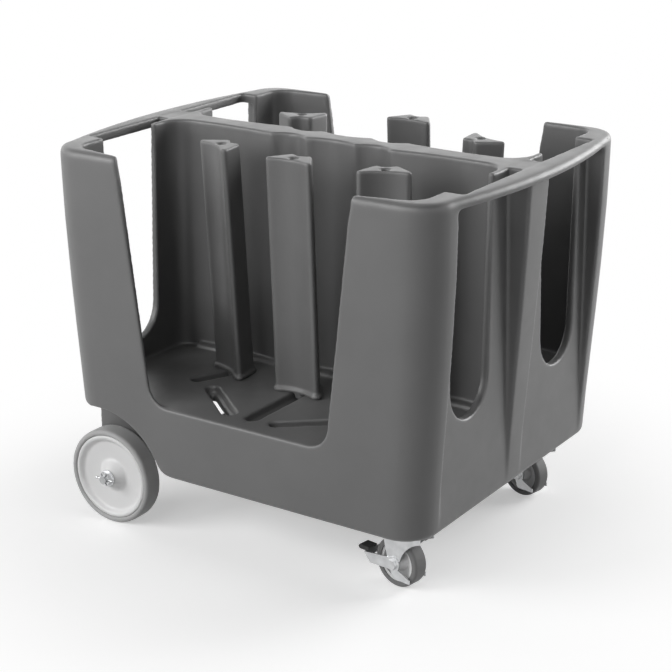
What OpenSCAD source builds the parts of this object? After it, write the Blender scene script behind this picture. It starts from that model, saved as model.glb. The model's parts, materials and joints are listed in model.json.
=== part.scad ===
// Plate dispenser cart: a moulded two-well body on two large wheels and two swivel casters,
// with three sliding towers in each well that hold stacks of plates apart.
// +X points to the caster end, -Y to the front, +Z up. The origin is under the middle, on the floor.

/* [Body] */
// Height of the rim above the floor
rim_z = 780; // [740:1:860]
// Height of the well floor and of the lip of each side opening
deck_z = 292; // [280:1:310]
// Height of the skirt's lower edge above the floor
skirt_z = 144; // [140:1:147]
// Half length of the end faces at the rim, without the handles
rim_hl = 434; // [431:1:443]
// Half length of the end faces at the skirt's lower edge
foot_hl = 404; // [402:1:408]
// Half width of the body at the rim
rim_hw = 366; // [364:1:372]
// Half width of the body at the skirt's lower edge
foot_hw = 357; // [355:1:362]
// Radius of the upright outer corners
corner_r = 66; // [54:1:72]
// Outward bow of the end faces at the rim; it fades out towards the skirt
end_bow = 8; // [2:1:12]

/* [Wells] */
// Distance from the end of the skirt in to a well's end wall
well_end_in = 20; // [17:1:24]
// Distance from the side of the skirt in to the side wall's inner face at the opening
well_side_in = 6; // [4:1:10]
// The same at the corners, where the wall is thicker
well_corner_in = 17; // [13:1:23]
// Radius of the inner corners of the four columns
column_in_r = 40; // [30:1:50]
// Radius where the divider spreads into its T-shaped ends
tee_in_r = 46; // [36:1:54]
// Half thickness of the divider at its middle
divider_ht = 22; // [18:1:26]
// Half thickness of the divider where its T-shaped ends begin
divider_end_ht = 27; // [22:1:30]
// How far the ridges beside the divider's flutes stand out from its middle
ridge_out = 13; // [8:1:16]
// Distance from the middle to the near edge of a flute
flute_in_x = 57; // [50:1:64]
// Distance from the middle to the far edge of a flute
flute_out_x = 138; // [125:1:150]
// Depth of the flutes
flute_depth = 17; // [10:1:20]
// Depth of the bays between the flutes and the T-shaped ends
end_bay = 5; // [2:1:8]
// Height of the step along the divider's foot
step_h = 9; // [6:1:14]
// How far that step stands out from the divider's ridges
step_out = 9; // [4:1:12]

/* [Side openings] */
// Half width of a side opening at the rim
gate_top = 264; // [250:1:275]
// Half width of a side opening at the lip, before its corners are rounded
gate_foot = 204; // [190:1:220]
// Radius of the lower corners of a side opening
gate_r = 45; // [30:1:60]

/* [Ends] */
// Height of the rim plate with its handles
rail_h = 21; // [18:1:26]
// Outward bow of the handles
rail_bow = 33; // [22:1:36]
// Distance from the end of the rim in to the handles' inner edge
rail_in = 12; // [9:1:16]
// Thickness of the end walls at the rim
end_wall = 12; // [10:1:15]
// Half width of the middle pilaster of an end at the rim, where it leaves the wall
end_pilaster_hw = 46; // [42:1:52]
// How much that half width shrinks from the rim down to the floor
end_pilaster_lean = 22; // [10:1:26]
// Angle at which that pilaster narrows outwards
end_pilaster_deg = 10; // [4:1:14]
// Distance from the middle plane to the far side of an outer recess
bay_out_y = 284; // [278:1:290]
// Distance from the middle plane to the axis of an end slot
slot_y = 175; // [170:1:178]
// Half width of an end slot at the rim
slot_top_hw = 77; // [72:1:80]
// Half width of an end slot at its round lower end
slot_foot_hw = 68; // [60:1:72]
// Height of the lowest point of an end slot
slot_z = 338; // [330:1:350]
// How far the finger gap stays from the middle plane behind the divider's T-shaped end
notch_y = 40; // [36:1:46]
// Depth of the shallow panel in the top of each T-shaped end
panel_h = 1.5; // [1:0.1:2.5]

/* [Underside] */
// Thickness of the deck under the wells
deck_t = 32; // [28:1:34]
// Thickness of the skirt
skirt_t = 24; // [20:1:28]
// Height of the pads that carry the casters
caster_pad_z = 136; // [134:1:138]
// Side of each square caster pad
pad_w = 116; // [108:1:122]
// Height of the pads that carry the axle brackets
axle_pad_z = 152; // [149:1:154]
// Radius of the arch over each large wheel
arch_r = 157; // [152:1:159]
// Height of the straight part of the arch at the end of the body
arch_z = 255; // [252:1:256]
// Radius of the skirt's corner beside each arch
arch_foot_r = 46; // [30:1:60]
// Distance from the side of the skirt to the inner wall of a wheel arch
arch_in = 74; // [71:1:76]

/* [Tracks] */
// Width of the grooves that guide the towers' feet
track_w = 28; // [24:1:30]
// Depth of those grooves
track_h = 16; // [14:1:20]
// Width of the slot for the clamp bolt at the bottom of a groove
bolt_slot_w = 11; // [10.8:0.1:13]
// Distance from the side of the skirt to the outer end of the middle track
track_side = 41; // [39:1:49]
// Distance from the middle plane to the inner end of the middle track
track_in = 92; // [88:1:96]
// Distance from the middle to the outer end of a diagonal track
diagonal_x = 56; // [52:1:60]
// Length of a diagonal track between the centres of its round ends
diagonal_l = 135; // [110:1:140]
// Angle of the diagonal tracks from the cart's length
diagonal_deg = 39; // [36:1:42]
// Distance from the middle to the inner end of an outer track
outer_x = 178; // [174:1:184]
// Distance from the middle plane to the inner end of an outer track
outer_y = 108; // [104:1:112]
// Length of an outer track between the centres of its round ends
outer_l = 92; // [80:1:96]
// Angle of the outer tracks and of their towers from the cart's width
outer_deg = 26; // [20:1:30]

/* [Towers] */
// Height of a tower's top above the floor
tower_z = 770; // [700:1:776]
// Half width of a tower's wide, hollow face
tower_front_hw = 52; // [48:1:55]
// Half width of a tower's narrow face
tower_back_hw = 26; // [22:1:30]
// Distance from the bore to the wide face's edges
tower_front = 24; // [22:1:27]
// Distance from the bore to the narrow face's edges
tower_back = 30; // [27:1:33]
// Depth of the hollow in the wide face
tower_front_sag = 9; // [5:1:11]
// Depth of the hollow in the narrow face
tower_back_sag = 7; // [4:1:10]
// How far a tower's top leans out over its wide face
tower_rake = 22; // [0:1:26]
// Radius of the access bore
tower_bore_r = 9; // [8.5:0.5:10]
// Height of the flange at a tower's foot
flange_h = 9; // [6:1:12]
// Width of that flange
flange_w = 5; // [3:1:7]
// Distance that each middle tower stands from the outer end of its track: front, back
middle_rest = [164, 0]; // [0:1:188]
// Distance of each outer tower out along its track: front left, front right, back left, back right
outer_rest = [4, 12, 58, 62]; // [4:1:76]

/* [Large wheels] */
// Radius of the large wheels, and height of their axle
wheel_r = 100; // [98:1:102]
// Width of their tyres
wheel_w = 44; // [38:1:45]
// Radius of the hub inside the tyre
hub_r = 88; // [80:1:90]
// Distance from the side of the skirt in to the tyre's outer face
wheel_side = 19; // [16:1:21]
// Distance from the end of the skirt in to the axle
axle_in = 65; // [63:1:69]
// Radius of the axle
axle_r = 10; // [9:0.5:11]

/* [Casters] */
// Radius of the caster wheels
caster_r = 50; // [46:1:51]
// Width of the caster tyres
caster_w = 32; // [26:1:34]
// Offset of the caster's axle from its swivel axis
trail = 33; // [28:1:36]
// Distance from the end of the skirt in to the swivel axes
caster_in = 71; // [70:1:78]
// Distance from the side of the skirt in to the swivel axes
caster_side = 108; // [105:1:117]
// Angle by which the front and the back caster are turned from the cart's length
caster_turn = [-9, -12]; // [-15:1:15]
// Radius of the caster's axle bolt
caster_bolt_r = 6; // [5:0.5:7]

/* [Hidden] */
$fn = 64;

// Colours
shell_grey = "#6f7173";
hub_grey = "#cfd0cf";
tyre_grey = "#9a9b9c";
caster_grey = "#7c7e80";
steel = "#b9bcbf";
zinc = "#d2d5d7";
pedal_black = "#232425";

// How far cutting shapes run past what they cut
over = 4;
// Gap of a running fit, on the radius
fit = 0.05;
// Gap between flat faces that turn past each other
gap = 0.3;
// Gap round a bolt's shank in a plain hole, on the radius
bolt_gap = 0.4;
// Steps in a quarter of a drawn arc
arc_steps = 8;

// Body
body_h = rim_z - skirt_z;
rail_z = rim_z - rail_h;
edge_r = 6;
rail_r = 10;
well_hl = foot_hl - well_end_in;
well_out = foot_hw - well_side_in;
well_out_corner = foot_hw - well_corner_in;
rail_in_x = rim_hl - rail_in;
arch_y = foot_hw - arch_in;
track_out = foot_hw - track_side;
wheel_out_y = foot_hw - wheel_side;
axle_x = foot_hl - axle_in;
caster_x = foot_hl - caster_in;
caster_y = foot_hw - caster_side;
bay_x = well_hl + end_wall;
bay_deg = atan((foot_hl - bay_x) / body_h);
far = rim_hl + corner_r;
bow_steps = 6;
// The end faces flare as a power of a sine: steep low down, upright near the rim
flare_share = 1.3;
// The end faces' bow grows as a power of the height
bow_share = 3;
// Heights of the body's sections, as shares of the height below the rim plate
level_shares = [0.012, 0.15, 0.3, 0.45, 0.6, 0.8, 1];
// Half width of the divider at its ridges
ridge_y = divider_ht + ridge_out;
deck_under = deck_z - deck_t;

// Towers
tip_r = 7;
// Gap under a tower's flange, which slides on the deck
slide_gap = 0.02;
foot_top_z = deck_z + flange_h;
key_side_gap = 0.5;
key_h = 12;
key_out = 4;
clamp_bolt_r = 5;
clamp_head_r = 8;
clamp_head_h = 10;
clamp_socket_r = 4.6;
clamp_socket_h = 5;
clamp_web = 8;
clamp_plate_t = 5;
clamp_plate_l = 52;
clamp_plate_w = 34;
clamp_nut_h = 8;
clamp_nut_r = 9.8;
bolt_end = 3;
bore_floor_h = 24;
well_gap = 2;

// Large wheels
hub_boss_r = 18;
hub_boss_foot = 16;
hub_boss_out = 2.5;
hub_rim_t = 9;
hub_rim_in = 2;
hub_web_t = 7;
hub_dish = 5;
hub_recess = 11;
tyre_edge = 5;
spacer_r = 15;
bracket_t = 4;
bracket_gap = 7;
bracket_y = arch_y - bracket_gap;
bracket_end_l = 36;
bracket_mid_l = 84;
bracket_w = 68;
bracket_lug_r = 20;
bracket_bolt_r = 4;
bracket_bolt_in = 14;
bracket_bolt_y = 18;
bracket_shoulder = 12;
screw_head_r = 7.2;
screw_head_h = 5;
screw_l = 24;
screw_hole_end = 2;
axle_nut_r = 15;
axle_nut_h = 10;
axle_nut_slot = 4;
axle_washer_t = 2.5;
axle_washer_r = 17;
axle_thread_r = 8;
axle_end = 5;
cotter_r = 1.6;
cotter_gap = 0.2;
cotter_out = 5;
hub_in_y = wheel_out_y - wheel_w - hub_boss_out;
hub_out_y = wheel_out_y + hub_boss_out;
washer_y = hub_out_y + gap;
nut_y = washer_y + axle_washer_t;

// Casters
caster_plate_l = 100;
caster_plate_w = 86;
caster_plate_t = 3.5;
caster_plate_r = 8;
caster_hole_x = 80;
caster_hole_y = 60;
caster_screw_r = 4;
race_r = 29;
race_edge = 3;
race_h = 6;
head_r = 34;
head_h = 7;
kingpin_r = 8;
kingpin_head_r = 12;
kingpin_head_h = 5;
fork_t = 3;
fork_front = 29;
fork_rear = 62;
fork_side_h = 12;
fork_sweep_r = 72;
fork_sweep_deg = 8;
fork_bite = 2;
caster_hub_hw = 19;
lug_r = 14;
core_r = 39;
core_rim_t = 6;
core_web_t = 8;
core_hub_r = 14;
caster_tyre_edge = 5;
caster_tyre_grip = 3;
lever_t = 2.5;
lever_lug_r = 15;
lever_reach = 72;
lever_rise = 3;
lever_drop = 16;
lever_cover = 16;
lever_tail_l = 40;
lever_tail_drop = 30;
lever_tail_h = 8;
tip_l = 26;
tip_hw = 12;
tip_t = 9;
tip_wall = 2;
tip_edge = 3;
pedal_l = 16;
caster_nut_h = 6;
caster_nut_r = 10.5;
fork_in = caster_hub_hw + gap;
fork_out = fork_in + fork_t;
lever_in = fork_out + gap;
lever_out = lever_in + lever_t;
plate_z = caster_pad_z - caster_plate_t;
race_z = plate_z - race_h;
head_z = race_z - gap - head_h;
crown_z = head_z - fork_t;

// The two ways from a middle plane; front and left are -1, back and right 1
sides = [-1, 1];

function last(list) = list[len(list) - 1];
function rest(list) = [for (i = [1 : len(list) - 1]) list[i]];
function turned(points) = [for (i = [len(points) - 1 : -1 : 0]) points[i]];
function flip(points, sx, sy) = [for (p = points) [sx * p[0], sy * p[1]]];
function arc(c, r, from, to, n = arc_steps) =
    [for (i = [0 : n]) let (a = from + (to - from) * i / n) c + r * [cos(a), sin(a)]];
// Inner points of a shallow curve from a to b that swings out to the right of that way
function swing(a, b, sag, n = arc_steps) = let (
        d = b - a,
        right = [d[1], -d[0]] / norm(d)
    ) [for (i = [1 : n - 1]) let (t = i / n) a + d * t + right * sag * 4 * t * (1 - t)];
// A closed outline from its half on the +X side, whose ends lie on the middle line
function both_x(half) = concat(half, flip(turned([for (i = [1 : len(half) - 2]) half[i]]), -1, 1));

// A solid through a list of [height, outline, shift], each outline seen whole from its own middle
module loft(levels) {
    n = len(levels[0][1]);
    k = len(levels);
    points = concat(
        [for (l = levels) for (p = l[1]) [p[0] + l[2], p[1], l[0]]],
        [[levels[0][2], 0, levels[0][0]], [levels[k - 1][2], 0, levels[k - 1][0]]]
    );
    walls = [for (j = [0 : k - 2]) for (i = [0 : n - 1]) each let (
            a = j * n + i,
            b = j * n + (i + 1) % n
        ) [[a, a + n, b], [b, a + n, b + n]]];
    caps = [for (i = [0 : n - 1]) each [
        [i, (i + 1) % n, n * k],
        [(k - 1) * n + (i + 1) % n, (k - 1) * n + i, n * k + 1]
    ]];
    polyhedron(points, concat(walls, caps));
}

// A bar with round ends between two points
module stadium(a, b, r) {
    translate(a)
        circle(r);
    translate(b)
        circle(r);
    translate(a)
        rotate(atan2(b[1] - a[1], b[0] - a[0]))
            translate([0, -r])
                square([norm(b - a), 2 * r]);
}

// Outline of the body at one height: round corners, flat sides, bowed ends
function quarter(hl, hw, r, bow) = concat(
    [for (i = [0 : bow_steps - 1]) let (y = (hw - r) * i / bow_steps)
        [hl + bow * (1 - pow(y / (hw - r), 2)), y]],
    arc([hl - r, hw - r], r, 0, 90)
);
function outline(hl, hw, r, bow) = let (
        q = quarter(hl, hw, r, bow),
        side = concat(flip(turned([for (i = [1 : len(q) - 1]) q[i]]), 1, -1), q)
    ) concat(side, flip(turned(side), -1, 1));
function half_length(t) = foot_hl + (rim_hl - foot_hl) * pow(sin(90 * t), flare_share);
function half_width(t) = foot_hw + (rim_hw - foot_hw) * t;
function body_ring(t, inset) =
    outline(half_length(t) - inset, half_width(t) - inset, corner_r - inset, end_bow * pow(t, bow_share));
function rail_ring(inset) = outline(rim_hl - inset, rim_hw - inset, corner_r - inset, rail_bow);

module body_outside() {
    loft(concat(
        [[skirt_z, body_ring(0, edge_r), 0]],
        [for (t = level_shares) [skirt_z + (rail_z + over - skirt_z) * t, body_ring(t, 0), 0]]
    ));
    loft(concat(
        [[rail_z, rail_ring(rail_r / 2), 0]],
        [for (a = [60, 30, 0]) [rail_z + rail_r / 2 * (1 - sin(a)), rail_ring(rail_r / 2 * (1 - cos(a))), 0]],
        [for (a = [0, 22.5, 45, 67.5, 90]) [rim_z - rail_r * (1 - sin(a)), rail_ring(rail_r * (1 - cos(a))), 0]]
    ));
    for (s = sides)
        translate([caster_x - pad_w / 2, s * caster_y - pad_w / 2, caster_pad_z])
            cube([pad_w, pad_w, deck_under + over - caster_pad_z]);
}

// A well's outline on the +X side, from the divider round to the opening
function well_side() = let (
        near = [flute_in_x, ridge_y],
        far_edge = [flute_out_x, ridge_y],
        tee = [well_hl - tee_in_r, divider_end_ht + tee_in_r],
        column = [well_hl - column_in_r, well_out_corner - column_in_r]
    ) concat(
        [for (i = [0 : arc_steps]) let (t = i / arc_steps) [flute_in_x * t, ridge_y - ridge_out * (1 - t * t)]],
        swing(near, far_edge, flute_depth),
        [far_edge],
        swing(far_edge, tee - [0, tee_in_r], end_bay),
        arc(tee, tee_in_r, -90, 0),
        arc(column, column_in_r, 0, 90),
        [[gate_top, well_out], [0, well_out]]
    );

// One well, towards +Y, with the step along the divider's foot
module well_cut() {
    difference() {
        translate([0, 0, deck_z])
            linear_extrude(rim_z - deck_z + over)
                polygon(both_x(well_side()));
        translate([tee_in_r - well_hl, 0, deck_z - over])
            cube([2 * (well_hl - tee_in_r), ridge_y + step_out, step_h + over]);
    }
}

// Side opening between the columns, with round lower corners
module gate_cut() {
    lean = atan((gate_top - gate_foot) / (rim_z - deck_z));
    corner_x = gate_foot - gate_r * tan(45 - lean / 2);
    half = concat(
        [[0, deck_z]],
        arc([corner_x, deck_z + gate_r], gate_r, -90, -lean),
        [[gate_top + over * tan(lean), rim_z + over], [0, rim_z + over]]
    );
    translate([0, rim_hw + over, 0])
        rotate([90, 0, 0])
            linear_extrude(rim_hw + over - well_out_corner)
                polygon(both_x(half));
}

// Outer recess of an end wall; its floor leans out until it meets the skirt's edge
module bay_cut() {
    difference() {
        translate([well_hl, 0, 0])
            cube([far - well_hl, bay_out_y, rail_z]);
        translate([bay_x, 0, rim_z])
            rotate([0, -bay_deg, 0])
                translate([-far, -far, -2 * rim_z])
                    cube([far, 2 * far, 3 * rim_z]);
        translate([bay_x, end_pilaster_hw, rim_z])
            rotate([-atan(end_pilaster_lean / rim_z), 0, -end_pilaster_deg])
                translate([-far, -far, -2 * rim_z])
                    cube([2 * far, far, 3 * rim_z]);
    }
}

// Slot with a round lower end through an end wall, and the finger gap that it opens into
module slot_cut() {
    half = concat(
        arc([0, slot_z + slot_foot_hw], slot_foot_hw, -90, 0),
        [[slot_top_hw, rail_z], [0, rail_z]]
    );
    translate([well_hl - over, slot_y, 0])
        rotate([90, 0, 90])
            linear_extrude(foot_hl + over - well_hl)
                polygon(both_x(half));
    translate([0, 0, rail_z - over])
        linear_extrude(rail_h + 2 * over)
            polygon([
                [well_hl - over, slot_y - slot_top_hw],
                [bay_x, slot_y - slot_top_hw],
                [bay_x, notch_y],
                [rail_in_x, notch_y - (rail_in_x - bay_x) * tan(end_pilaster_deg)],
                [rail_in_x, slot_y + slot_top_hw],
                [well_hl - over, slot_y + slot_top_hw]
            ]);
}

// A groove between two points, with a slot for the clamp bolt through the rest of the deck
module track_cut(a, b) {
    translate([0, 0, deck_z - track_h])
        linear_extrude(track_h + over)
            stadium(a, b, track_w / 2);
    translate([0, 0, deck_under - over])
        linear_extrude(deck_t)
            stadium(a, b, bolt_slot_w / 2);
}

function track_end(distance) = distance - track_w / 2;
function outer_start(s) = [s * outer_x, outer_y];
function outer_way(s) = [s * sin(outer_deg), cos(outer_deg)];
function diagonal_start(s) = [s * diagonal_x, track_end(track_out)];
function diagonal_way(s) = [s * cos(diagonal_deg), -sin(diagonal_deg)];

module tracks_cut() {
    track_cut([0, track_in + track_w / 2], [0, track_end(track_out)]);
    for (s = sides) {
        track_cut(outer_start(s), outer_start(s) + outer_l * outer_way(s));
        track_cut(diagonal_start(s), diagonal_start(s) + diagonal_l * diagonal_way(s));
    }
}

// Wheel arch at the -X end: a round part over the wheel, open towards the end of the body
module arch_cut() {
    foot_h = skirt_z + arch_foot_r - wheel_r;
    foot_x = sqrt(pow(arch_r + arch_foot_r, 2) - pow(foot_h, 2));
    meet_deg = atan(foot_h / foot_x);
    top_deg = 180 - asin((arch_z - wheel_r) / arch_r);
    translate([-axle_x, far, wheel_r])
        rotate([90, 0, 0])
            linear_extrude(far - arch_y)
                polygon(concat(
                    [[-far, -wheel_r], [foot_x, -wheel_r]],
                    arc([foot_x, foot_h], arch_foot_r, 270, 180 + meet_deg),
                    rest(arc([0, 0], arch_r, meet_deg, top_deg, 2 * arc_steps)),
                    [[-far, arch_z - wheel_r]]
                ));
}

// Space under the deck inside the skirt, round the pads of the casters and brackets
module underside_cut() {
    inner_hl = foot_hl - skirt_t;
    inner_hw = foot_hw - skirt_t;
    arch_inner_y = arch_y - skirt_t / 2;
    arch_end = axle_x - arch_r - arch_foot_r - skirt_t / 2;
    pad_x = axle_x - bracket_mid_l - skirt_t / 4;
    pad_in = bracket_y - bracket_w - skirt_t / 4;
    difference() {
        translate([0, 0, skirt_z - over])
            linear_extrude(deck_under - skirt_z + over) {
                translate([-arch_end, -inner_hw])
                    square([arch_end + inner_hl, 2 * inner_hw]);
                translate([-inner_hl, -arch_inner_y])
                    square([inner_hl, 2 * arch_inner_y]);
            }
        for (s = sides) {
            translate([caster_x - pad_w / 2, s * caster_y - pad_w / 2, 0])
                cube([pad_w, pad_w, rim_z]);
            translate([-far, s * (pad_in + far / 2) - far / 2, axle_pad_z])
                cube([far - pad_x, far, rim_z]);
        }
    }
    // The wall beside a bracket ends level with its pad
    for (s = sides)
        translate([-inner_hl, s * (pad_in + arch_y) / 2 - (arch_y - pad_in) / 2, skirt_z - over])
            cube([inner_hl - pad_x, arch_y - pad_in, axle_pad_z - skirt_z + over]);
}

function caster_holes() = [for (x = sides) for (y = sides) [x * caster_hole_x / 2, y * caster_hole_y / 2]];
function bracket_holes() = [for (x = [bracket_bolt_in - bracket_end_l, bracket_mid_l - bracket_bolt_in])
    for (y = sides) [x - axle_x, y * bracket_bolt_y + bracket_y - bracket_w / 2]];

// Blind holes for the caster screws and bracket bolts
module screw_holes_cut() {
    for (p = caster_holes())
        translate([caster_x + p[0], caster_y + p[1], caster_pad_z - over])
            cylinder(r = caster_screw_r + bolt_gap, h = screw_l + screw_hole_end + over);
    for (p = bracket_holes())
        translate([p[0], p[1], axle_pad_z - over])
            cylinder(r = bracket_bolt_r + bolt_gap, h = screw_l + screw_hole_end + over);
}

module cart_body() {
    color(shell_grey)
        difference() {
            body_outside();
            for (s = sides)
                mirror([0, s < 0 ? 1 : 0, 0]) {
                    well_cut();
                    gate_cut();
                    tracks_cut();
                    arch_cut();
                    screw_holes_cut();
                    for (e = sides)
                        mirror([e < 0 ? 1 : 0, 0, 0]) {
                            bay_cut();
                            slot_cut();
                        }
                }
            underside_cut();
            for (e = sides)
                translate([e * (bay_x + rail_in_x) / 2, 0, rim_z])
                    cube([rail_in_x - bay_x + end_wall, notch_y + end_pilaster_hw / 2, 2 * panel_h], center = true);
        }
}

// Place of a tower: [x, y, direction that its wide face looks]
function tower_place(row, col) = col == 0
    ? [0, row * (track_end(track_out) - key_out - middle_rest[(row + 1) / 2]), -90]
    : let (
        way = [col * sin(outer_deg), row * cos(outer_deg)],
        p = [col * outer_x, row * outer_y] + outer_rest[row + 1 + (col + 1) / 2] * way
    ) [p[0], p[1], atan2(way[1], way[0])];

// Outline of a tower with round corners and two hollow faces, grown all round
function tower_ring(grow) = let (
        f = [tower_front - tip_r, tower_front_hw - tip_r],
        b = [tip_r - tower_back, tower_back_hw - tip_r],
        side_deg = atan2(f[1] - b[1], f[0] - b[0]) + 90,
        front = arc(f, tip_r + grow, -atan(2 * tower_front_sag / f[1]), side_deg, arc_steps / 2),
        back = arc(b, tip_r + grow, side_deg, 180 + atan(2 * tower_back_sag / b[1]), arc_steps / 2),
        half = concat(front, back),
        back_end = last(back),
        front_end = front[0]
    ) concat(
        half,
        swing(back_end, [back_end[0], -back_end[1]], -tower_back_sag),
        flip(turned(half), 1, -1),
        swing([front_end[0], -front_end[1]], front_end, -tower_front_sag)
    );

// Column of a tower above its flange, leaning and cut level at both ends
module tower_column() {
    rake_h = tower_z - foot_top_z;
    intersection() {
        translate([0, 0, foot_top_z])
            rotate([0, atan(tower_rake / rake_h), 0])
                translate([0, 0, -flange_h])
                    difference() {
                        linear_extrude(rake_h + 2 * flange_h)
                            polygon(tower_ring(0));
                        translate([0, 0, -over])
                            cylinder(r = tower_bore_r, h = 2 * rake_h);
                    }
        translate([-tower_z, -tower_z, foot_top_z - flange_h / 2])
            cube([2 * tower_z, 2 * tower_z, rake_h + flange_h / 2]);
    }
}

module tower(row, col) {
    place = tower_place(row, col);
    color(shell_grey)
        translate([place[0], place[1], 0])
            rotate(place[2])
                difference() {
                    union() {
                        tower_column();
                        translate([0, 0, deck_z + slide_gap])
                            linear_extrude(flange_h - slide_gap)
                                polygon(tower_ring(flange_w));
                        translate([0, 0, deck_z - key_h])
                            linear_extrude(key_h + clamp_web / 2)
                                stadium([-key_out, 0], [key_out, 0], track_w / 2 - key_side_gap);
                    }
                    // The bore widens round the bolt's head
                    translate([0, 0, deck_z + clamp_web])
                        cylinder(r = tower_bore_r + well_gap, h = bore_floor_h);
                    translate([0, 0, deck_z - key_h - over])
                        cylinder(r = clamp_bolt_r + bolt_gap, h = key_h + clamp_web + 2 * over);
                }
}

module clamp_bolt(row, col) {
    place = tower_place(row, col);
    seat_z = deck_z + clamp_web;
    tip_z = deck_under - clamp_plate_t - clamp_nut_h - bolt_end;
    color(steel)
        translate([place[0], place[1], 0])
            rotate(place[2])
                difference() {
                    union() {
                        translate([0, 0, seat_z])
                            cylinder(r = clamp_head_r, h = clamp_head_h);
                        translate([0, 0, tip_z])
                            cylinder(r = clamp_bolt_r, h = seat_z + clamp_head_h / 4 - tip_z);
                    }
                    translate([0, 0, seat_z + clamp_head_h - clamp_socket_h])
                        cylinder(r = clamp_socket_r, h = clamp_socket_h + over, $fn = 6);
                }
}

// Plate under the deck with its nut; the bolt draws the tower down onto the deck through it
module clamp_plate(row, col) {
    place = tower_place(row, col);
    plate_under = deck_under - clamp_plate_t;
    color(steel)
        translate([place[0], place[1], 0])
            rotate(place[2])
                difference() {
                    union() {
                        translate([-clamp_plate_l / 2, -clamp_plate_w / 2, plate_under])
                            cube([clamp_plate_l, clamp_plate_w, clamp_plate_t]);
                        translate([0, 0, plate_under - clamp_nut_h])
                            cylinder(r = clamp_nut_r, h = clamp_nut_h + clamp_plate_t / 2, $fn = 6);
                    }
                    translate([0, 0, plate_under - clamp_nut_h - over])
                        cylinder(r = clamp_bolt_r + fit, h = clamp_plate_t + clamp_nut_h + 2 * over);
                }
}

// Turns what stands on +Z outwards on one side of the rear axle
module on_axle(s) {
    translate([-axle_x, 0, wheel_r])
        rotate([s < 0 ? 90 : -90, 0, 0])
            children();
}

module rear_axle() {
    thread_y = nut_y + axle_nut_h + axle_end;
    color(steel)
        difference() {
            on_axle(1) {
                translate([0, 0, -nut_y])
                    cylinder(r = axle_r, h = 2 * nut_y);
                translate([0, 0, -thread_y])
                    cylinder(r = axle_thread_r, h = 2 * thread_y);
            }
            for (s = sides)
                on_axle(s)
                    translate([-axle_washer_r, 0, nut_y + axle_nut_h - axle_nut_slot / 2])
                        rotate([0, 90, 0])
                            cylinder(r = cotter_r + cotter_gap, h = 2 * axle_washer_r);
        }
}

// Angle bracket: a plate under the pad and an ear that carries the axle
module axle_bracket(s) {
    ear_top = axle_pad_z - bracket_t / 2;
    ear_low = axle_pad_z - bracket_shoulder;
    color(steel)
        mirror([0, s < 0 ? 1 : 0, 0])
            difference() {
                translate([-axle_x, 0, 0]) {
                    translate([-bracket_end_l, bracket_y - bracket_w, axle_pad_z - bracket_t])
                        cube([bracket_end_l + bracket_mid_l, bracket_w, bracket_t]);
                    translate([0, bracket_y, 0])
                        rotate([90, 0, 0])
                            linear_extrude(bracket_t) {
                                polygon([
                                    [-bracket_end_l, ear_top],
                                    [-bracket_end_l, ear_low],
                                    [-bracket_lug_r, wheel_r],
                                    [bracket_lug_r, wheel_r],
                                    [bracket_mid_l, ear_low],
                                    [bracket_mid_l, ear_top]
                                ]);
                                translate([0, wheel_r])
                                    circle(bracket_lug_r);
                            }
                }
                on_axle(1)
                    cylinder(r = axle_r + fit, h = rim_hw);
                for (p = bracket_holes())
                    translate([p[0], p[1], axle_pad_z - bracket_t - over])
                        cylinder(r = bracket_bolt_r + bolt_gap, h = bracket_t + 2 * over);
            }
}

// Hexagon-headed screw, its head's upper face at the origin
module screw(r, head_r) {
    translate([0, 0, -screw_head_h])
        cylinder(r = head_r, h = screw_head_h, $fn = 6);
    translate([0, 0, -screw_head_h / 2])
        cylinder(r = r, h = screw_l + screw_head_h / 2);
}

module bracket_bolts() {
    color(zinc)
        for (s = sides)
            for (p = bracket_holes())
                translate([p[0], s * p[1], axle_pad_z - bracket_t])
                    screw(bracket_bolt_r, screw_head_r);
}

// Turned hub: boss, dished web and rim
module wheel_hub(s) {
    rim_low = hub_in_y + hub_boss_out + hub_rim_in;
    rim_high = wheel_out_y - hub_rim_in;
    web_high = wheel_out_y - hub_recess;
    boss_foot_r = hub_boss_r + hub_boss_foot;
    rim_in_r = hub_r - hub_rim_t;
    color(hub_grey)
        on_axle(s)
            rotate_extrude()
                polygon([
                    [axle_r + fit, hub_in_y],
                    [hub_boss_r, hub_in_y],
                    [boss_foot_r, web_high - hub_web_t - hub_dish],
                    [rim_in_r - hub_dish, web_high - hub_web_t],
                    [rim_in_r, rim_low],
                    [hub_r, rim_low],
                    [hub_r, rim_high],
                    [rim_in_r + hub_rim_in, rim_high],
                    [rim_in_r, rim_high - hub_rim_in],
                    [rim_in_r - hub_dish, web_high],
                    [boss_foot_r, web_high - hub_dish],
                    [hub_boss_r, hub_out_y - hub_rim_in],
                    [hub_boss_r - hub_rim_in, hub_out_y],
                    [axle_r + fit, hub_out_y]
                ]);
}

// Ring with rounded shoulders between two radii and two heights
function tyre_profile(in_r, out_r, low, high, edge) = concat(
    [[in_r, low]],
    arc([out_r - edge, low + edge], edge, -90, 0, arc_steps / 2),
    arc([out_r - edge, high - edge], edge, 0, 90, arc_steps / 2),
    [[in_r, high]]
);

module wheel_tyre(s) {
    color(tyre_grey)
        on_axle(s)
            rotate_extrude()
                polygon(tyre_profile(hub_r, wheel_r, wheel_out_y - wheel_w, wheel_out_y, tyre_edge));
}

module axle_spacers() {
    color(steel)
        for (s = sides)
            on_axle(s)
                translate([0, 0, bracket_y])
                    difference() {
                        cylinder(r = spacer_r, h = hub_in_y - gap - bracket_y);
                        translate([0, 0, -over])
                            cylinder(r = axle_r + fit, h = wheel_w);
                    }
}

module axle_washers() {
    color(zinc)
        for (s = sides)
            on_axle(s)
                translate([0, 0, washer_y])
                    difference() {
                        cylinder(r = axle_washer_r, h = axle_washer_t);
                        translate([0, 0, -over])
                            cylinder(r = axle_r + fit, h = axle_washer_t + 2 * over);
                    }
}

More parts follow.
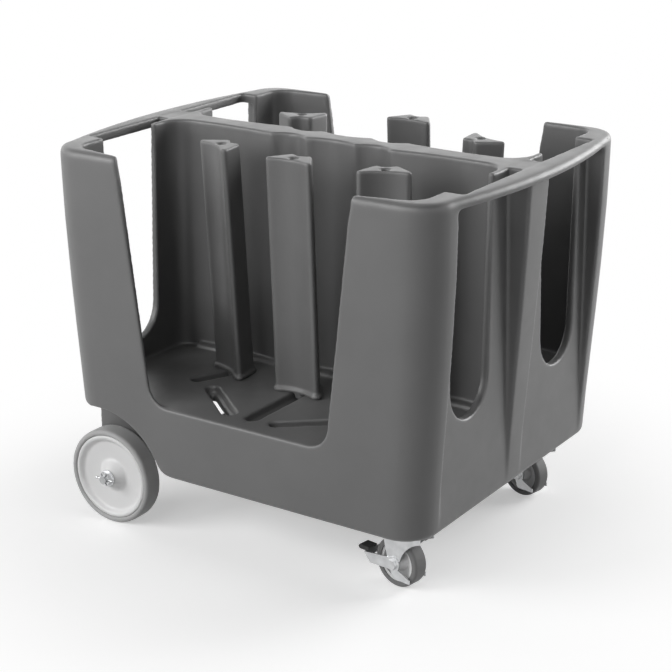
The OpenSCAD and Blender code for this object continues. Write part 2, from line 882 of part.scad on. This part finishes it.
// Slotted nuts; the cotter pins pass through their slots and the axle
module axle_nuts() {
    slot_hw = cotter_r + cotter_gap;
    color(zinc)
        for (s = sides)
            on_axle(s)
                translate([0, 0, nut_y])
                    difference() {
                        cylinder(r = axle_nut_r, h = axle_nut_h, $fn = 6);
                        translate([0, 0, -over])
                            cylinder(r = axle_thread_r + fit, h = axle_nut_h + 2 * over);
                        for (a = [0, 60, 120])
                            rotate(a)
                                translate([-axle_nut_r, -slot_hw, axle_nut_h - axle_nut_slot])
                                    cube([2 * axle_nut_r, 2 * slot_hw, axle_nut_slot + over]);
                    }
}

module cotter_pins() {
    color(zinc)
        for (s = sides)
            on_axle(s)
                translate([-axle_nut_r - cotter_out, 0, nut_y + axle_nut_h - axle_nut_slot / 2]) {
                    rotate([0, 90, 0])
                        cylinder(r = cotter_r, h = 2 * (axle_nut_r + cotter_out));
                    sphere(2 * cotter_r);
                }
}

// Puts children from a caster's own frame, swivel axis on Z and wheel towards -X, in place
module at_caster(s) {
    translate([caster_x, s * caster_y, 0])
        rotate(caster_turn[(s + 1) / 2])
            children();
}

// The same for what stands on +Z along the wheel's axle
module at_caster_axle(s) {
    at_caster(s)
        translate([-trail, 0, caster_r])
            rotate([90, 0, 0])
                children();
}

module caster_plate(s) {
    hl = caster_plate_l / 2 - caster_plate_r;
    hw = caster_plate_w / 2 - caster_plate_r;
    color(zinc)
        translate([caster_x, s * caster_y, 0])
            difference() {
                union() {
                    translate([0, 0, plate_z])
                        linear_extrude(caster_plate_t)
                            polygon(concat(
                                arc([hl, hw], caster_plate_r, 0, 90),
                                arc([-hl, hw], caster_plate_r, 90, 180),
                                arc([-hl, -hw], caster_plate_r, 180, 270),
                                arc([hl, -hw], caster_plate_r, 270, 360)
                            ));
                    translate([0, 0, race_z])
                        cylinder(r1 = race_r - race_edge, r2 = race_r, h = race_h + caster_plate_t / 2);
                }
                translate([0, 0, race_z - over])
                    cylinder(r = kingpin_r + fit, h = race_h + caster_plate_t + 2 * over);
                for (p = caster_holes())
                    translate([p[0], p[1], plate_z - over])
                        cylinder(r = caster_screw_r + bolt_gap, h = caster_plate_t + 2 * over);
            }
}

module caster_screws() {
    color(zinc)
        for (s = sides)
            for (p = caster_holes())
                translate([caster_x + p[0], s * caster_y + p[1], plate_z])
                    screw(caster_screw_r, screw_head_r);
}

module caster_kingpin(s) {
    head_top = crown_z - gap;
    color(steel)
        translate([caster_x, s * caster_y, 0]) {
            translate([0, 0, head_top - kingpin_head_h])
                cylinder(r1 = kingpin_head_r - race_edge, r2 = kingpin_head_r, h = kingpin_head_h);
            translate([0, 0, head_top - kingpin_head_h / 2])
                cylinder(r = kingpin_r, h = caster_pad_z - head_top + kingpin_head_h / 2);
        }
}

// Side of the fork, seen along the axle: it sweeps in from the crown to a round lug
module fork_leg() {
    sweep_way = [cos(fork_sweep_deg), -sin(fork_sweep_deg)];
    difference() {
        polygon([
            [-fork_rear, head_z],
            [-fork_rear, head_z - fork_side_h],
            [-trail - lug_r, caster_r],
            [fork_front, caster_r],
            [fork_front, head_z]
        ]);
        translate([-trail, caster_r] + (lug_r + fork_sweep_r - fork_bite) * sweep_way)
            circle(fork_sweep_r);
    }
    translate([-trail, caster_r])
        circle(lug_r);
}

// Pressed fork: a round head, a crown and two legs
module caster_fork(s) {
    color(zinc)
        at_caster(s)
            difference() {
                union() {
                    translate([0, 0, head_z])
                        cylinder(r1 = head_r, r2 = head_r - race_edge, h = head_h);
                    translate([-fork_rear, -fork_out, crown_z])
                        cube([fork_front + fork_rear, 2 * fork_out, fork_t]);
                    for (e = sides)
                        translate([0, e * (fork_in + fork_t / 2) + fork_t / 2, 0])
                            rotate([90, 0, 0])
                                linear_extrude(fork_t)
                                    fork_leg();
                }
                translate([0, 0, crown_z - over])
                    cylinder(r = kingpin_r + fit, h = head_h + fork_t + 2 * over);
                translate([-trail, fork_out + over, caster_r])
                    rotate([90, 0, 0])
                        cylinder(r = caster_bolt_r + fit, h = 2 * (fork_out + over));
            }
}

// Axle bolt and its nut, outside the brake lever
module caster_axle(s) {
    side_y = lever_out + gap;
    color(zinc)
        at_caster_axle(s) {
            translate([0, 0, side_y])
                cylinder(r = caster_nut_r, h = caster_nut_h, $fn = 6);
            translate([0, 0, -side_y - caster_nut_h - bolt_end])
                cylinder(r = caster_bolt_r, h = 2 * side_y + 1.5 * caster_nut_h + bolt_end);
            translate([0, 0, -side_y - caster_nut_h])
                difference() {
                    cylinder(r = caster_nut_r, h = caster_nut_h, $fn = 6);
                    translate([0, 0, -over])
                        cylinder(r = caster_bolt_r + fit, h = caster_nut_h + 2 * over);
                }
        }
}

module caster_core(s) {
    rim_hw_y = caster_w / 2 - caster_tyre_grip;
    rim_in_r = core_r - core_rim_t;
    web_in_r = core_hub_r + core_rim_t;
    color(hub_grey)
        at_caster_axle(s)
            rotate_extrude()
                polygon([
                    [caster_bolt_r + fit, -caster_hub_hw],
                    [core_hub_r, -caster_hub_hw],
                    [web_in_r, -core_web_t / 2],
                    [rim_in_r, -core_web_t / 2],
                    [rim_in_r, -rim_hw_y],
                    [core_r, -rim_hw_y],
                    [core_r, rim_hw_y],
                    [rim_in_r, rim_hw_y],
                    [rim_in_r, core_web_t / 2],
                    [web_in_r, core_web_t / 2],
                    [core_hub_r, caster_hub_hw],
                    [caster_bolt_r + fit, caster_hub_hw]
                ]);
}

module caster_tyre(s) {
    color(caster_grey)
        at_caster_axle(s)
            rotate_extrude()
                polygon(tyre_profile(core_r, caster_r, -caster_w / 2, caster_w / 2, caster_tyre_edge));
}

// Side of the brake lever, seen along the axle: an arm back to the pedal and a tail down and forward
module lever_side() {
    reach_in = lever_reach - lever_cover;
    circle(lever_lug_r);
    polygon([
        [0, lever_lug_r - lever_t],
        [-lever_reach, lever_rise],
        [-lever_reach, lever_rise - lever_t],
        [-reach_in, -lever_drop],
        [0, lever_t - lever_lug_r]
    ]);
    polygon([
        [-lever_lug_r / 2, -lever_lug_r / 2],
        [0, -lever_tail_drop],
        [lever_tail_l, -lever_tail_drop],
        [lever_tail_l, lever_tail_h - lever_tail_drop],
        [lever_lug_r / 2, -lever_lug_r / 2]
    ]);
}

// Brake lever: two sides on the axle bolt, joined behind the wheel by the pedal's cover
module brake_lever(s) {
    color(zinc)
        at_caster(s)
            translate([-trail, 0, caster_r])
                difference() {
                    union() {
                        for (e = sides)
                            translate([0, e * (lever_in + lever_t / 2) + lever_t / 2, 0])
                                rotate([90, 0, 0])
                                    linear_extrude(lever_t)
                                        lever_side();
                        translate([-lever_reach, -lever_out, lever_rise - lever_t])
                            cube([lever_cover, 2 * lever_out, lever_t]);
                        translate([-lever_reach - pedal_l, tip_wall - tip_hw, lever_rise - lever_t])
                            cube([pedal_l + lever_cover / 2, 2 * (tip_hw - tip_wall), lever_t]);
                    }
                    translate([0, lever_out + over, 0])
                        rotate([90, 0, 0])
                            cylinder(r = caster_bolt_r + fit, h = 2 * (lever_out + over));
                }
}

// Rubber tip over the pedal's end
module brake_tip(s) {
    mid = lever_rise - lever_t / 2;
    color(pedal_black)
        at_caster(s)
            translate([-trail - lever_reach, 0, caster_r])
                difference() {
                    translate([0, tip_hw, 0])
                        rotate([90, 0, 0])
                            linear_extrude(2 * tip_hw)
                                polygon([
                                    [0, mid - tip_t / 2],
                                    [0, mid + tip_t / 2],
                                    [tip_edge - tip_l, mid + tip_t / 2],
                                    [-tip_l, mid + tip_t / 2 - tip_edge],
                                    [-tip_l, mid - tip_t / 2 + tip_edge],
                                    [tip_edge - tip_l, mid - tip_t / 2]
                                ]);
                    translate([-pedal_l, tip_wall - tip_hw, lever_rise - lever_t])
                        cube([pedal_l + over, 2 * (tip_hw - tip_wall), lever_t]);
                }
}

cart_body();
rear_axle();
bracket_bolts();
axle_spacers();
axle_washers();
axle_nuts();
cotter_pins();
caster_screws();
tower(-1, -1);  // tower_front_left
tower(-1, 0);  // tower_front_middle
tower(-1, 1);  // tower_front_right
tower(1, -1);  // tower_back_left
tower(1, 0);  // tower_back_middle
tower(1, 1);  // tower_back_right
clamp_bolt(-1, -1);  // clamp_bolt_front_left
clamp_bolt(-1, 0);  // clamp_bolt_front_middle
clamp_bolt(-1, 1);  // clamp_bolt_front_right
clamp_bolt(1, -1);  // clamp_bolt_back_left
clamp_bolt(1, 0);  // clamp_bolt_back_middle
clamp_bolt(1, 1);  // clamp_bolt_back_right
clamp_plate(-1, -1);  // clamp_plate_front_left
clamp_plate(-1, 0);  // clamp_plate_front_middle
clamp_plate(-1, 1);  // clamp_plate_front_right
clamp_plate(1, -1);  // clamp_plate_back_left
clamp_plate(1, 0);  // clamp_plate_back_middle
clamp_plate(1, 1);  // clamp_plate_back_right
axle_bracket(-1);  // axle_bracket_front
axle_bracket(1);  // axle_bracket_back
wheel_hub(-1);  // wheel_hub_front
wheel_hub(1);  // wheel_hub_back
wheel_tyre(-1);  // wheel_tyre_front
wheel_tyre(1);  // wheel_tyre_back
caster_plate(-1);  // caster_plate_front
caster_plate(1);  // caster_plate_back
caster_kingpin(-1);  // caster_kingpin_front
caster_kingpin(1);  // caster_kingpin_back
caster_fork(-1);  // caster_fork_front
caster_fork(1);  // caster_fork_back
caster_axle(-1);  // caster_axle_front
caster_axle(1);  // caster_axle_back
caster_core(-1);  // caster_core_front
caster_core(1);  // caster_core_back
caster_tyre(-1);  // caster_tyre_front
caster_tyre(1);  // caster_tyre_back
brake_lever(-1);  // brake_lever_front
brake_lever(1);  // brake_lever_back
brake_tip(-1);  // brake_tip_front
brake_tip(1);  // brake_tip_back
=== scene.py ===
"""Looks of the plate dispenser cart: materials, softened mouldings, camera, floor and light."""

import json
import math

import bpy
import numpy as np
from mathutils import Euler, Matrix, Vector


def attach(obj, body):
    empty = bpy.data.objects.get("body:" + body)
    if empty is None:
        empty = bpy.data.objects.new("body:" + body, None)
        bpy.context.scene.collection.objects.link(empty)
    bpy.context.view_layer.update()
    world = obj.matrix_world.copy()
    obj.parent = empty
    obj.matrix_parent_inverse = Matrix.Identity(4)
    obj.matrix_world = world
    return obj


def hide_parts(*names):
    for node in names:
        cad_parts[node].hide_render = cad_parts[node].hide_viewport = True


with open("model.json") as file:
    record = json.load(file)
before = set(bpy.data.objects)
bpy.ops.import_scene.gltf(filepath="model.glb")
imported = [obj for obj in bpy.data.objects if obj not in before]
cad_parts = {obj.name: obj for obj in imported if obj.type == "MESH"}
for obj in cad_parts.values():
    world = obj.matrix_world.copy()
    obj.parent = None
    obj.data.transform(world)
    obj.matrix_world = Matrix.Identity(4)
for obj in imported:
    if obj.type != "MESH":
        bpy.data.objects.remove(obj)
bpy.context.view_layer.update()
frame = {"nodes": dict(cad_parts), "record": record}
NODES = frame["nodes"]
BODIES = frame["record"]["behaviour"]["bodies"]
BODY_OF = {node: body for body, nodes in BODIES.items() for node in nodes}
SLOT_OF = {s["node"]: s["material_slot"] for s in frame["record"]["subparts"]}
MM = 0.001

# Softening: the voxel that a copy is remeshed at, its smoothing passes, and the share of faces kept
BODY_VOXEL = 2.2 * MM
BODY_PASSES = 32
BODY_KEPT = 0.066
TOWER_VOXEL = 1.6 * MM
TOWER_PASSES = 50
TOWER_KEPT = 0.25
WHEEL_VOXEL = 1.4 * MM
TYRE_PASSES = 80
HUB_PASSES = 40
WHEEL_KEPT = 0.3
# Share of the way to its neighbours' middle that a point moves in one pass
SMOOTH_STEP = 0.5
GRID_TURN = Euler((0.55, 0.35, 0.75)).to_matrix().to_4x4()

# The rim's outer outline, as in the CAD, and the band below and inside it that is rounded more
RIM_HALF_LENGTH = 434 * MM
RIM_HALF_WIDTH = 366 * MM
RIM_CORNER = 66 * MM
RIM_BOW = 33 * MM
RIM_LOW = 735 * MM
RIM_DEPTH = 26 * MM
RIM_BLEND = 16 * MM
RIM_STEPS = 8
RIM_PASSES = 58

# The camera of the photograph, in metres and radians
CAMERA_PLACE = Vector((1.8365, -2.7677, 1.5229))
CAMERA_YAW = 0.58811
CAMERA_DOWN = 0.33423
CAMERA_ROLL = -0.00333
IMAGE_WIDTH = 672
FOCAL_PIXELS = 1731.44
SENSOR_WIDTH = 36.0
VIEW_END = 60.0

# The floor: what lamps and the object see of it, and what the camera and glossy surfaces see
FLOOR_HALF = 12.0
FLOOR_BOUNCE = 0.6
FLOOR_ROUGH = 0.8
FLOOR_LIT = 0.86
FLOOR_GLOW = 0.41
# Distances from the middle between which the floor fades to plain white
FADE_FROM, FADE_TO = 0.45, 1.05

# What glossy surfaces see of the world: a bright backdrop up to a height, and a dim room over it
WORLD_FILL = 0.02
BACKDROP_SHINE = 2.0
BACKDROP_TOP = (0.45, 0.85)
ROOM_SHINE = 0.35

# Name, place, size and power in watts. Every lamp points at the middle of the object
MIDDLE = Vector((0.0, 0.0, 0.45))
LAMPS = [
    ("key", (-2.2, -3.0, 1.9), (2.2, 2.0), 77),
    ("front", (0.2, -3.8, 2.6), (2.0, 1.6), 36),
    ("side", (2.0, 3.3, 1.7), (2.8, 2.4), 138),
    ("top", (-0.4, 0.2, 3.8), (2.0, 2.0), 12),
]

# Plastic: the scale of each noise, the bumps' heights, and how far the roughness varies
CLOUD_SCALE, SHEEN_SCALE, WAVE_SCALE, GRAIN_SCALE = 7.0, 22.0, 26.0, 1500.0
WAVE_HEIGHT, GRAIN_HEIGHT = 1.2 * MM, 0.15 * MM
SHEEN_SMOOTHER, SHEEN_ROUGHER = 0.04, 0.05
# The same for metal, with the share of its brightness that its patches reach
PLATE_SCALE, POLISH_SCALE, SCRATCH_SCALE = 60.0, 240.0, 900.0
SCRATCH_HEIGHT = 0.1 * MM
POLISH_SMOOTHER, POLISH_ROUGHER = 0.06, 0.08
PLATE_DARK, PLATE_BRIGHT = 0.86, 1.06
# Noise values between which a ramp runs
NOISE_LOW, NOISE_HIGH = 0.3, 0.7
# Pointiness of a flat face and of an edge that gets the painted highlight
FLAT_POINTINESS, HIGHLIGHT_POINTINESS = 0.5, 0.56
# How much paler than the plastic the painted highlight on an edge is
HIGHLIGHT_PALER = 1.8


def grey(value, tint=0.0):
    """A grey, a little bluer with a positive tint."""
    return (value * (1 - tint), value, value * (1 + tint), 1.0)


def new_material(name):
    material = bpy.data.materials.new(name)
    material.use_nodes = True
    tree = material.node_tree
    shader = next(n for n in tree.nodes if n.type == "BSDF_PRINCIPLED")
    return material, tree, shader


def add(tree, kind, **settings):
    """Adds a node. Sockets are set by name, properties by attribute."""
    node = tree.nodes.new(kind)
    for key, value in settings.items():
        if key in node.inputs:
            node.inputs[key].default_value = value
        else:
            setattr(node, key, value)
    return node


def noise(tree, where, scale, detail=3.0, roughness=0.55):
    node = add(tree, "ShaderNodeTexNoise", Scale=scale, Detail=detail, Roughness=roughness)
    tree.links.new(where.outputs["Object"], node.inputs["Vector"])
    return node


def ramp(tree, source, output, low, high):
    """A ramp between two (position, colour) stops."""
    node = add(tree, "ShaderNodeValToRGB")
    for element, (at, colour) in zip(node.color_ramp.elements, (low, high)):
        element.position = at
        element.color = colour
    tree.links.new(source.outputs[output], node.inputs["Fac"])
    return node


def mottle(tree, where, scale, low, high, target):
    """Feeds a socket with greys that a noise spreads between two colours."""
    spread = noise(tree, where, scale)
    colour = ramp(tree, spread, "Fac", (NOISE_LOW, low), (NOISE_HIGH, high))
    tree.links.new(colour.outputs["Color"], target)
    return colour


def bump(tree, height, strength, distance, under=None):
    node = add(tree, "ShaderNodeBump", Strength=strength, Distance=distance)
    tree.links.new(height.outputs["Fac"], node.inputs["Height"])
    if under is not None:
        tree.links.new(under.outputs["Normal"], node.inputs["Normal"])
    return node


def paint_edge_highlight(tree, colour, highlight_colour, share, target):
    """Paints a highlight: mixes a colour towards a paler one along sharp outer edges."""
    shape = add(tree, "ShaderNodeNewGeometry")
    edge = ramp(
        tree, shape, "Pointiness", (FLAT_POINTINESS, grey(0.0)), (HIGHLIGHT_POINTINESS, grey(1.0))
    )
    amount = add(tree, "ShaderNodeMath", operation="MULTIPLY")
    amount.inputs[1].default_value = share
    tree.links.new(edge.outputs["Color"], amount.inputs[0])
    mix = add(tree, "ShaderNodeMix", data_type="RGBA", B=highlight_colour)
    tree.links.new(amount.outputs[0], mix.inputs["Factor"])
    tree.links.new(colour.outputs["Color"], mix.inputs["A"])
    tree.links.new(mix.outputs["Result"], target)


def moulded(name, low, high, rough, grain_strength, wave_strength, gloss=0.5, edge_highlight=0.0):
    """Moulded plastic: cloudy colour, fine grain, a slow waviness, and a painted highlight that
    makes sharp edges paler.
    """
    material, tree, shader = new_material(name)
    where = add(tree, "ShaderNodeTexCoord")
    base = shader.inputs["Base Color"]
    colour = mottle(tree, where, CLOUD_SCALE, grey(low), grey(high), base)
    # Painted highlight: sharp outer edges are mixed towards a paler grey
    if edge_highlight:
        paint_edge_highlight(tree, colour, grey(min(1.0, high * HIGHLIGHT_PALER)), edge_highlight, base)
    smoother, rougher = grey(rough - SHEEN_SMOOTHER), grey(rough + SHEEN_ROUGHER)
    mottle(tree, where, SHEEN_SCALE, smoother, rougher, shader.inputs["Roughness"])
    waves = bump(tree, noise(tree, where, WAVE_SCALE, 1.0), wave_strength, WAVE_HEIGHT)
    fine = noise(tree, where, GRAIN_SCALE, 2.0)
    grain = bump(tree, fine, grain_strength, GRAIN_HEIGHT, waves)
    tree.links.new(grain.outputs["Normal"], shader.inputs["Normal"])
    shader.inputs["Specular IOR Level"].default_value = gloss
    return material


def metal(name, value, rough, scratch, tint=0.01):
    """Plated or plain steel: bright metal with a faint mottle and fine drawn scratches."""
    material, tree, shader = new_material(name)
    where = add(tree, "ShaderNodeTexCoord")
    dark, bright = grey(value * PLATE_DARK, tint), grey(min(1.0, value * PLATE_BRIGHT), tint)
    mottle(tree, where, PLATE_SCALE, dark, bright, shader.inputs["Base Color"])
    smoother, rougher = grey(rough - POLISH_SMOOTHER), grey(rough + POLISH_ROUGHER)
    mottle(tree, where, POLISH_SCALE, smoother, rougher, shader.inputs["Roughness"])
    shader.inputs["Metallic"].default_value = 1.0
    marks = bump(tree, noise(tree, where, SCRATCH_SCALE, 2.0), scratch, SCRATCH_HEIGHT)
    tree.links.new(marks.outputs["Normal"], shader.inputs["Normal"])
    return material


# Plastics: darkest and lightest grey, roughness, grain, waviness. Metals: grey, roughness, scratches
MATERIALS = {
    # The shell gets a painted highlight that makes its sharp edges paler
    "shell": moulded("shell_moulded", 0.144, 0.16, 0.42, 0.12, 0.15, edge_highlight=0.3),
    "hub": moulded("hub_moulded", 0.78, 0.84, 0.42, 0.2, 0.12),
    "wheel_tyre": moulded("tyre_grey", 0.44, 0.49, 0.6, 0.3, 0.1, gloss=0.35),
    "caster_tyre": moulded("caster_tyre_grey", 0.18, 0.21, 0.55, 0.3, 0.1, gloss=0.4),
    "steel": metal("steel_plain", 0.42, 0.42, 0.2),
    "zinc": metal("zinc_plated", 0.62, 0.4, 0.15),
    "pedal": moulded("pedal_rubber", 0.022, 0.03, 0.6, 0.3, 0.2, gloss=0.4),
}


def bake_modifiers(piece):
    """Applies every modifier of a piece to its mesh."""
    view = bpy.context.evaluated_depsgraph_get()
    view.update()
    done = bpy.data.meshes.new_from_object(piece.evaluated_get(view))
    piece.modifiers.clear()
    piece.data = done
    for face in done.polygons:
        face.use_smooth = True


def add_smoothing(piece, name, passes):
    smooth = piece.modifiers.new(name, "SMOOTH")
    smooth.factor = SMOOTH_STEP
    smooth.iterations = passes
    return smooth


def round_rim(piece):
    """Rounds the outer edge of the rim and the handles more than the other edges."""
    mesh = piece.data
    points = np.empty(len(mesh.vertices) * 3)
    mesh.vertices.foreach_get("co", points)
    x, y, z = np.abs(points.reshape(-1, 3)).T
    straight = RIM_HALF_WIDTH - RIM_CORNER
    end = RIM_HALF_LENGTH + RIM_BOW * (1 - np.minimum(y / straight, 1) ** 2)
    corner = RIM_CORNER - np.hypot(x - RIM_HALF_LENGTH + RIM_CORNER, y - straight)
    at_corner = (x > RIM_HALF_LENGTH - RIM_CORNER) & (y > straight)
    depth = np.where(at_corner, corner, np.minimum(end - x, RIM_HALF_WIDTH - y))
    high = np.clip((z - RIM_LOW) / RIM_BLEND, 0, 1)
    weight = high * np.clip((RIM_DEPTH - depth) / RIM_BLEND, 0, 1)
    group = piece.vertex_groups.new(name="rim")
    for step in range(1, RIM_STEPS + 1):
        chosen = np.flatnonzero(np.ceil(weight * RIM_STEPS) == step)
        group.add(chosen.tolist(), step / RIM_STEPS, "REPLACE")
    add_smoothing(piece, "rim", RIM_PASSES).vertex_group = group.name


def soften(node, voxel, passes, kept, rim=False):
    """A copy of a moulded node whose edges are rounded as a mould leaves them replaces the node."""
    mesh = NODES[node].data.copy()
    mesh.transform(GRID_TURN)
    name = "moulded_body" if node == "cart_body" else f"moulded_{node}"
    piece = bpy.data.objects.new(name, mesh)
    bpy.context.scene.collection.objects.link(piece)
    remesh = piece.modifiers.new("remesh", "REMESH")
    remesh.mode = "VOXEL"
    remesh.voxel_size = voxel
    bake_modifiers(piece)
    piece.data.transform(GRID_TURN.inverted())
    snap = piece.modifiers.new("snap", "SHRINKWRAP")
    snap.target = NODES[node]
    add_smoothing(piece, "smooth", passes)
    if rim:
        round_rim(piece)
    thin = piece.modifiers.new("thin", "DECIMATE")
    thin.ratio = kept
    bake_modifiers(piece)
    piece.data.materials.clear()
    piece.data.materials.append(MATERIALS[SLOT_OF[node]])
    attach(piece, BODY_OF[node])
    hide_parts(node)


def make_camera():
    data = bpy.data.cameras.new("camera")
    data.sensor_width = SENSOR_WIDTH
    data.lens = FOCAL_PIXELS / IMAGE_WIDTH * SENSOR_WIDTH
    data.clip_end = VIEW_END
    camera = bpy.data.objects.new("camera", data)
    turn = (
        Matrix.Rotation(CAMERA_YAW, 4, "Z")
        @ Matrix.Rotation(math.pi / 2 - CAMERA_DOWN, 4, "X")
        @ Matrix.Rotation(CAMERA_ROLL, 4, "Z")
    )
    camera.matrix_world = Matrix.Translation(CAMERA_PLACE) @ turn
    bpy.context.scene.collection.objects.link(camera)
    bpy.context.scene.camera = camera


def mix_shaders(tree, factor, output, first, second):
    mix = add(tree, "ShaderNodeMixShader")
    tree.links.new(factor.outputs[output], mix.inputs[0])
    tree.links.new(first.outputs[0], mix.inputs[1])
    tree.links.new(second.outputs[0], mix.inputs[2])
    return mix


def smooth_range(tree, source, output, limits, values=(0.0, 1.0)):
    """A smooth step from one value to another between two limits of its source."""
    node = add(tree, "ShaderNodeMapRange", interpolation_type="SMOOTHSTEP")
    node.inputs["From Min"].default_value, node.inputs["From Max"].default_value = limits
    node.inputs["To Min"].default_value, node.inputs["To Max"].default_value = values
    tree.links.new(source.outputs[output], node.inputs["Value"])
    return node


def watched(tree):
    """1 for camera, glossy and transmission rays, so that metal shows the white floor too."""
    path = add(tree, "ShaderNodeLightPath")
    total, output = path, "Is Camera Ray"
    for ray in ("Is Glossy Ray", "Is Transmission Ray"):
        either = add(tree, "ShaderNodeMath", operation="MAXIMUM")
        tree.links.new(total.outputs[output], either.inputs[0])
        tree.links.new(path.outputs[ray], either.inputs[1])
        total, output = either, 0
    return total


def make_floor():
    """A pale floor that keeps the object's shadow near it and fades to white further away."""
    mesh = bpy.data.meshes.new("floor")
    corners = [(x * FLOOR_HALF, y * FLOOR_HALF, 0) for x, y in ((-1, -1), (1, -1), (1, 1), (-1, 1))]
    mesh.from_pydata(corners, [], [(0, 1, 2, 3)])
    floor = bpy.data.objects.new("floor", mesh)
    bpy.context.scene.collection.objects.link(floor)
    material, tree, bounce = new_material("floor_pale")
    bounce.inputs["Base Color"].default_value = grey(FLOOR_BOUNCE)
    bounce.inputs["Roughness"].default_value = FLOOR_ROUGH
    bounce.inputs["Specular IOR Level"].default_value = 0.0
    lit = add(tree, "ShaderNodeBsdfDiffuse", Color=grey(FLOOR_LIT))
    glow = add(tree, "ShaderNodeEmission", Color=grey(1.0), Strength=FLOOR_GLOW)
    near = add(tree, "ShaderNodeAddShader")
    tree.links.new(lit.outputs[0], near.inputs[0])
    tree.links.new(glow.outputs[0], near.inputs[1])
    white = add(tree, "ShaderNodeEmission", Color=grey(1.0), Strength=1.0)
    where = add(tree, "ShaderNodeTexCoord")
    distance = add(tree, "ShaderNodeVectorMath", operation="LENGTH")
    tree.links.new(where.outputs["Object"], distance.inputs[0])
    fade = smooth_range(tree, distance, "Value", (FADE_FROM, FADE_TO))
    shown = mix_shaders(tree, fade, "Result", near, white)
    result = mix_shaders(tree, watched(tree), 0, bounce, shown)
    output = next(n for n in tree.nodes if n.type == "OUTPUT_MATERIAL")
    tree.links.new(result.outputs[0], output.inputs["Surface"])
    mesh.materials.append(material)


def make_world():
    """White to the camera, a backdrop and a room to glossy surfaces, and a faint fill."""
    world = bpy.data.worlds.new("world")
    world.use_nodes = True
    tree = world.node_tree
    tree.nodes.clear()
    fill = add(tree, "ShaderNodeBackground", Color=grey(1.0), Strength=WORLD_FILL)
    white = add(tree, "ShaderNodeBackground", Color=grey(1.0), Strength=1.0)
    shine = add(tree, "ShaderNodeBackground", Color=grey(1.0))
    where = add(tree, "ShaderNodeTexCoord")
    height = add(tree, "ShaderNodeSeparateXYZ")
    tree.links.new(where.outputs["Generated"], height.inputs[0])
    level = smooth_range(tree, height, "Z", BACKDROP_TOP, (BACKDROP_SHINE, ROOM_SHINE))
    tree.links.new(level.outputs["Result"], shine.inputs["Strength"])
    path = add(tree, "ShaderNodeLightPath")
    unseen = mix_shaders(tree, path, "Is Glossy Ray", fill, shine)
    result = mix_shaders(tree, path, "Is Camera Ray", unseen, white)
    output = add(tree, "ShaderNodeOutputWorld")
    tree.links.new(result.outputs[0], output.inputs["Surface"])
    bpy.context.scene.world = world


def add_lamp(name, place, size, power):
    data = bpy.data.lights.new(name, "AREA")
    data.shape = "RECTANGLE"
    data.size, data.size_y = size
    data.energy = power
    lamp = bpy.data.objects.new(name, data)
    lamp.location = place
    lamp.rotation_euler = (MIDDLE - Vector(place)).to_track_quat("-Z", "Y").to_euler()
    bpy.context.scene.collection.objects.link(lamp)


for node, piece in NODES.items():
    piece.data.materials.clear()
    piece.data.materials.append(MATERIALS[SLOT_OF[node]])

soften("cart_body", BODY_VOXEL, BODY_PASSES, BODY_KEPT, rim=True)
for row in ("front", "back"):
    for column in ("left", "middle", "right"):
        soften(f"tower_{row}_{column}", TOWER_VOXEL, TOWER_PASSES, TOWER_KEPT)
    soften(f"wheel_tyre_{row}", WHEEL_VOXEL, TYRE_PASSES, WHEEL_KEPT)
    soften(f"wheel_hub_{row}", WHEEL_VOXEL, HUB_PASSES, WHEEL_KEPT)

make_camera()
make_floor()
make_world()
for lamp in LAMPS:
    add_lamp(*lamp)
bpy.context.scene.view_settings.view_transform = "Standard"
